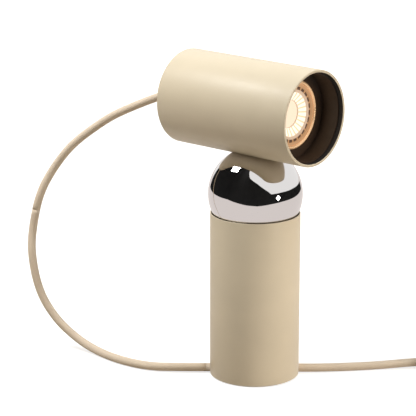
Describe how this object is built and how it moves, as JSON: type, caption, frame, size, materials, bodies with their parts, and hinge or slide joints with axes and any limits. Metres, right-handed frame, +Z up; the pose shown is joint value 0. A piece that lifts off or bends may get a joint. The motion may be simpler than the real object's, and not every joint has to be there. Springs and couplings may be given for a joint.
{
  "type": "tabletop searchlight lamp",
  "caption": "Spotlight head on a polished ball that turns in the mouth of a weighted tube base, with a reflector bulb, textile flex, in-line switch and plug.",
  "frame": {"origin": "centre of the felt foot, on the table, on the axis of the base tube", "axes": "+X is the way the head shines at rest, +Y is to the left seen along +X, +Z is up"},
  "size_m": [0.4207, 0.2495, 0.2385],
  "materials": {
    "body_paint": "satin powder coat",
    "black_paint": "matt black inside, reads brown where lit",
    "iron": "rough, hidden in the base",
    "felt": "pressed felt",
    "pad_rubber": "matt",
    "turned_steel": "turned or bent steel, hidden",
    "nickel": "nickel plated",
    "nylon": "smooth",
    "polished_steel": "mirror polished",
    "cast_alloy": "as cast",
    "ceramic": "glazed white",
    "contact_brass": "plain",
    "cream_plastic": "fine spark texture",
    "white_plastic": "plain",
    "sleeve_plastic": "smooth",
    "rocker_plastic": "smooth",
    "wire_sleeve": "smooth",
    "bulb_shell": "satin",
    "bulb_plating": "copper-gold plated",
    "lens_glass": "clear, radial facets",
    "phosphor": "pale diffuser",
    "textile": "fine braid",
    "tie_fabric": "hook-and-loop"
  },
  "bodies": {
    "base": {"base_tube": "body_paint", "base_weight": "iron", "foot_felt": "felt", "foot_pads": "pad_rubber", "magnet_column": "turned_steel", "carrier_disc": "turned_steel", "magnet_pot": "turned_steel", "base_magnet": "nickel", "column_nut": "turned_steel", "seat_ring": "nylon", "cord_loop_lower": "textile", "cord_in_base": "textile", "cord_lead": "textile", "cord_to_coil": "textile", "cord_coil": "textile", "coil_tie": "tie_fabric", "cord_tail": "textile", "plug_relief": "cream_plastic", "plug_body": "cream_plastic", "pin_sleeves": "sleeve_plastic", "plug_pins": "nickel", "switch_base": "cream_plastic", "switch_cover": "cream_plastic", "switch_screws": "turned_steel", "switch_contacts": "contact_brass"},
    "ball": {"ball_shell": "polished_steel"},
    "head": {"head_tube": "body_paint", "saddle": "cast_alloy", "head_magnet": "nickel", "bracket": "turned_steel", "bracket_screws": "turned_steel", "lampholder": "ceramic", "holder_contacts": "contact_brass", "holder_screws": "turned_steel", "baffle": "black_paint", "rear_cap": "body_paint", "cap_standoffs": "contact_brass", "cap_screws": "turned_steel", "cord_grip": "cream_plastic", "grip_nut": "cream_plastic", "cord_in_head": "textile", "terminal_block": "white_plastic", "terminal_screws": "turned_steel", "lamp_wires": "wire_sleeve", "cord_loop_upper": "textile"},
    "bulb": {"bulb_body": "bulb_shell", "bulb_rim": "bulb_plating", "bulb_lens": "lens_glass", "bulb_emitter": "phosphor", "bulb_pins": "turned_steel"},
    "rocker": {"switch_rocker": "rocker_plastic"}
  },
  "joints": [
    {"name": "head_pan", "type": "hinge", "parent": "base", "child": "ball", "pos_m": [0, 0, 0.13917], "axis": [0, 0, 1], "range_deg": [-60, 120], "deforming": ["cord_loop_upper", "cord_loop_lower"]},
    {"name": "head_tilt", "type": "hinge", "parent": "ball", "child": "head", "pos_m": [0, 0, 0.13917], "axis": [0, 1, 0], "range_deg": [-45, 60], "deforming": ["cord_loop_upper", "cord_loop_lower"]},
    {"name": "bulb_twist", "type": "hinge", "parent": "head", "child": "bulb", "pos_m": [0, 0, 0.20347], "axis": [1, 0, 0], "range_deg": [0, 20]},
    {"name": "rocker", "type": "hinge", "parent": "base", "child": "rocker", "pos_m": [0.10791, 0.11105, 0.0131], "axis": [-0.7431, 0.6691, 0], "range_deg": [0, 14]}
  ]
}
